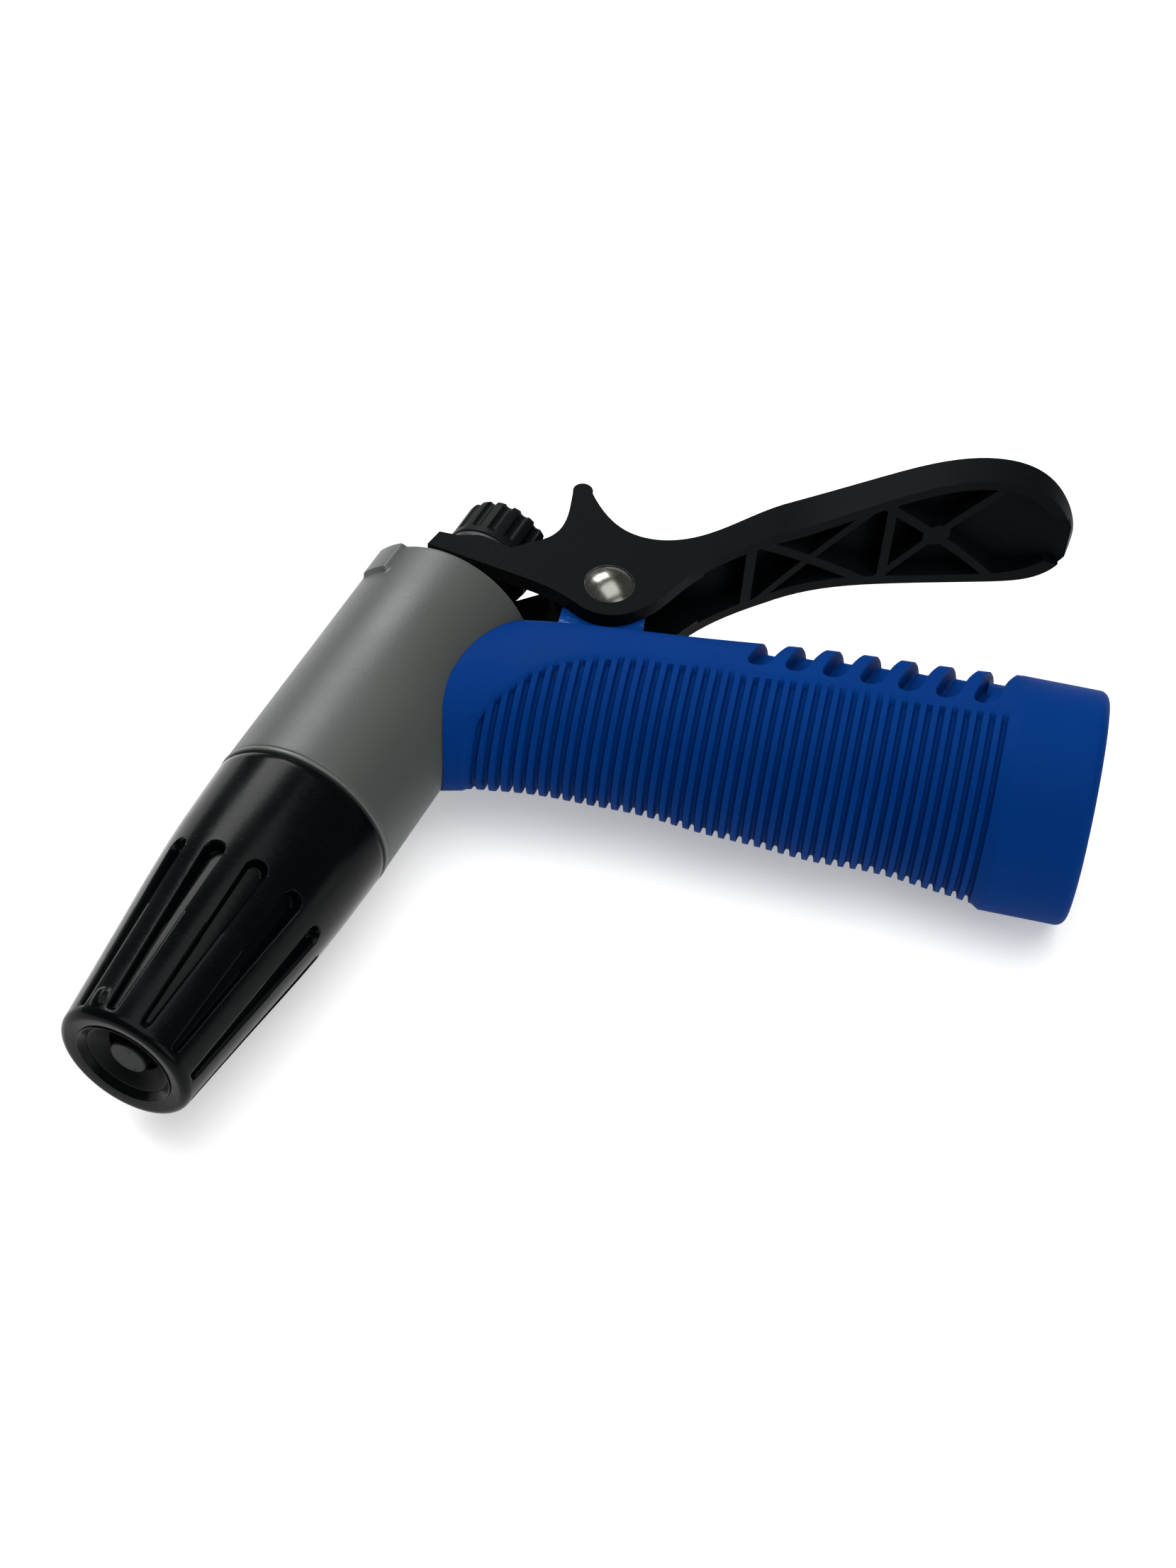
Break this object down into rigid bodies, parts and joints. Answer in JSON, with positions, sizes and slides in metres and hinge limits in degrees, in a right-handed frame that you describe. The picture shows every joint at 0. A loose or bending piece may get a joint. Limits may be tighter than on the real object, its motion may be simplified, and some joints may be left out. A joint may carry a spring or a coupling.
{
  "type": "hose spray nozzle",
  "caption": "Rear-trigger garden hose spray nozzle with a ribbed grip, a sprung trigger on a rivet, an adjusting knob on the valve stem and a twist nozzle.",
  "frame": {"origin": "centre of the hose mouth, on the grip axis", "axes": "+X out of the hose mouth along the grip, towards the hose; +Z along the trigger rivet; +Y towards the trigger, so the tool lies on its side"},
  "size_m": [0.1402, 0.1442, 0.037],
  "materials": {
    "core_black": "moulded black acetal",
    "grip_blue": "soft blue thermoplastic rubber, satin",
    "lug_blue": "hard blue plastic, glossy",
    "shroud_grey": "grey plastic, satin",
    "trim_grey": "light grey plastic",
    "nozzle_black": "black plastic, glossy",
    "lever_black": "black glass-filled nylon, matte",
    "knob_black": "black plastic, satin",
    "steel": "stainless steel",
    "chrome": "nickel plated, polished",
    "brass": "turned brass",
    "seal_black": "black nitrile rubber",
    "seal_green": "dark rubber washer"
  },
  "bodies": {
    "body": {"valve_body": "core_black", "grip_core": "core_black", "hose_coupler": "core_black", "hose_washer": "seal_green", "pivot_lug": "lug_blue", "pivot_bush": "steel", "grip_sleeve": "grip_blue", "barrel_shroud": "shroud_grey", "shroud_trim": "trim_grey", "valve_seat": "brass", "spring_seat": "steel", "stem_packing": "seal_black", "packing_washer": "brass", "packing_nut": "brass", "nozzle_o_ring": "seal_black", "return_spring": "steel"},
    "trigger": {"trigger_lever": "lever_black", "pivot_rivet": "chrome"},
    "stem": {"valve_stem": "steel", "spray_pintle": "core_black", "poppet_seal": "seal_black", "poppet_washer": "brass", "poppet_clip": "steel"},
    "knob_carriage": {"thrust_washer": "steel"},
    "knob": {"adjusting_knob": "knob_black", "knob_insert": "brass"},
    "nozzle_carriage": {"spray_orifice": "core_black"},
    "nozzle": {"front_nozzle": "nozzle_black"}
  },
  "joints": [
    {"name": "trigger_pivot", "type": "hinge", "parent": "body", "child": "trigger", "pos_m": [-0.0802, 0.0201, 0], "axis": [0, 0, -1], "range_deg": [0, 20], "stiffness_Nm_per_rad": 0.45, "springref_deg": -28.65},
    {"name": "stem_slide", "type": "slide", "parent": "body", "child": "stem", "axis": [0.2588, 0.9659, 0], "range_m": [0, 0.00768], "stiffness_N_per_m": 50, "springref_m": -0.012, "deforming": ["return_spring"]},
    {"name": "knob_advance", "type": "slide", "parent": "stem", "child": "knob_carriage", "axis": [0.2588, 0.9659, 0], "range_m": [0, 0.0007]},
    {"name": "knob_turn", "type": "hinge", "parent": "knob_carriage", "child": "knob", "pos_m": [-0.1083, 0, 0], "axis": [0.2588, 0.9659, 0], "range_deg": [0, 360]},
    {"name": "nozzle_advance", "type": "slide", "parent": "body", "child": "nozzle_carriage", "axis": [-0.2588, -0.9659, 0], "range_m": [0, 0.0025]},
    {"name": "nozzle_twist", "type": "hinge", "parent": "nozzle_carriage", "child": "nozzle", "pos_m": [-0.1083, 0, 0], "axis": [-0.2588, -0.9659, 0], "range_deg": [0, 300]}
  ],
  "couplings": [
    {"joint": "stem_slide", "follows": "trigger_pivot", "m_per_rad": 0.02194},
    {"joint": "knob_turn", "follows": "knob_advance", "rad_per_m": 8976},
    {"joint": "nozzle_advance", "follows": "nozzle_twist", "m_per_rad": 0.00047746}
  ]
}
